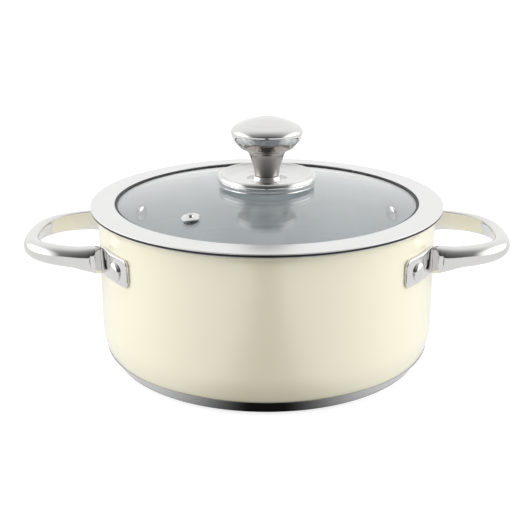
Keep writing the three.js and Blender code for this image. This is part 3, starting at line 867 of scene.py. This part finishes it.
def paint_fixings():
    for node, material in (
        ("knob_screw", SATIN),
        ("knob_washer", SATIN),
        ("knob_under_gasket", SILICONE),
        ("knob_plate_gasket", SILICONE),
    ):
        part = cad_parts[node]
        part.data.materials.clear()
        part.data.materials.append(material)


# ---------------------------------------------------------------- room, lamps and camera

def make_floor():
    bm = bmesh.new()
    bmesh.ops.create_grid(bm, x_segments=40, y_segments=40, size=3.0)
    floor = to_object("studio_floor", bm)
    s = Shader("pale_floor", (0.9, 0.9, 0.9), 0.6)
    s.vary_color(s.noise(s.position, 3, 3), (0.40, 0.40, 0.40), (0.42, 0.42, 0.42))
    paths = s.node("ShaderNodeLightPath")
    glow = s.node("ShaderNodeEmission", {"Color": (1, 1, 1, 1), "Strength": 0.72})
    lit = s.node("ShaderNodeAddShader", {0: s.shader.outputs[0], 1: glow.outputs[0]})
    mix = s.node("ShaderNodeMixShader", {
        0: paths.outputs["Is Camera Ray"], 1: s.shader.outputs[0], 2: lit.outputs[0],
    })
    # Painted reflection: mirrors see a dark strip of floor under the pot's middle that brightens towards the
    # sides, though the camera sees the floor evenly pale.
    split = s.node("ShaderNodeSeparateXYZ", {0: s.position})
    sideways = s.node("ShaderNodeMath", {0: split.outputs["X"]}, operation="ABSOLUTE")
    reflection_brightness = s.node("ShaderNodeMapRange", {
        "Value": sideways.outputs[0], "From Min": 0.01, "From Max": 0.085, "To Min": 0.01, "To Max": 0.85,
    }, interpolation_type="SMOOTHSTEP")
    painted_dark_reflection = s.node("ShaderNodeEmission", {"Color": (1, 1, 1, 1), "Strength": reflection_brightness.outputs["Result"]})
    room = s.node("ShaderNodeMixShader", {
        0: paths.outputs["Is Glossy Ray"], 1: mix.outputs[0], 2: painted_dark_reflection.outputs[0],
    })
    s.link(room.outputs[0], s.tree.nodes["Material Output"].inputs["Surface"])
    floor.data.materials.append(s.material)


def direction_to(azimuth, elevation):
    """Unit vector from the pot towards that direction, in degrees."""
    a = math.radians(azimuth)
    e = math.radians(elevation)
    return Vector((math.cos(a) * math.cos(e), math.sin(a) * math.cos(e), math.sin(e)))


def softbox(name, size, power, azimuth, elevation, distance):
    """A rectangular lamp that faces the pot from that direction, in degrees, and isn't seen in mirrors."""
    lamp = bpy.data.lights.new(name, "AREA")
    lamp.shape = "RECTANGLE"
    lamp.size, lamp.size_y = size
    lamp.energy = power
    toward = direction_to(azimuth, elevation)
    target = Vector((0, 0, 0.07))
    holder = bpy.data.objects.new(name, lamp)
    bpy.context.scene.collection.objects.link(holder)
    holder.location = target + toward * distance
    holder.rotation_euler = toward.to_track_quat("Z", "Y").to_euler()
    holder.visible_glossy = False


def make_world():
    """Soft surroundings: pale behind the pot and overhead, bright at both sides, dark in front of it."""
    world = bpy.data.worlds.new("studio")
    world.use_nodes = True
    bpy.context.scene.world = world
    tree = world.node_tree
    direction = add_node(tree, "ShaderNodeTexCoord").outputs["Generated"]
    front = add_node(tree, "ShaderNodeVectorMath", {0: direction, 1: (0, -1, 0)}, operation="DOT_PRODUCT")
    share = add_node(tree, "ShaderNodeMapRange", {"Value": front.outputs["Value"], "From Min": -1})
    ramp = add_node(tree, "ShaderNodeValToRGB", {0: share.outputs["Result"]})
    stops = ((0.0, 1.0), (0.3, 0.92), (0.5, 0.70), (0.7, 0.36), (1.0, 0.05))  # from the back to the front
    while len(ramp.color_ramp.elements) < len(stops):
        ramp.color_ramp.elements.new(0.5)
    for element, (position, value) in zip(ramp.color_ramp.elements, stops):
        element.position = position
        element.color = (value, value, value, 1)
    split = add_node(tree, "ShaderNodeSeparateXYZ", {0: direction})
    sideways = add_node(tree, "ShaderNodeMath", {0: split.outputs["X"]}, operation="ABSOLUTE")
    sides = add_node(tree, "ShaderNodeMapRange", {
        "Value": sideways.outputs[0], "From Min": 0.7, "From Max": 0.95, "To Max": 1.2,
    }, interpolation_type="SMOOTHSTEP")
    total = add_node(tree, "ShaderNodeVectorMath", {
        0: ramp.outputs[0], 1: sides.outputs["Result"],
    }, operation="ADD")
    tree.links.new(total.outputs[0], tree.nodes["Background"].inputs["Color"])


def make_camera():
    """The camera of the product view: square to the handles' line, 19 degrees above the horizon."""
    distance = 0.8063
    target = Vector((0, 0, 0.0646))
    data = bpy.data.cameras.new("camera")
    data.sensor_width = 36
    data.lens = 74.45
    data.shift_x = -0.0034
    camera = bpy.data.objects.new("camera", data)
    bpy.context.scene.collection.objects.link(camera)
    toward = direction_to(-90, 19)
    camera.location = target + toward * distance
    camera.rotation_euler = toward.to_track_quat("Z", "Y").to_euler()
    bpy.context.scene.camera = camera
    bpy.context.scene.view_settings.view_transform = "Standard"


# ---------------------------------------------------------------- assembly

make_vessel()
make_base()
make_handles()
make_rivets()
make_rim()
make_seal()
make_gasket()
make_glass()
make_vent()
make_plate()
make_stem()
make_head()
paint_fixings()

make_floor()
make_world()
softbox("left_softbox", (0.8, 1.0), 8, 200, 16, 1.1)
softbox("right_softbox", (0.8, 1.0), 8, -20, 16, 1.1)
softbox("top_softbox", (1.0, 1.0), 6.5, -90, 72, 1.2)
make_camera()
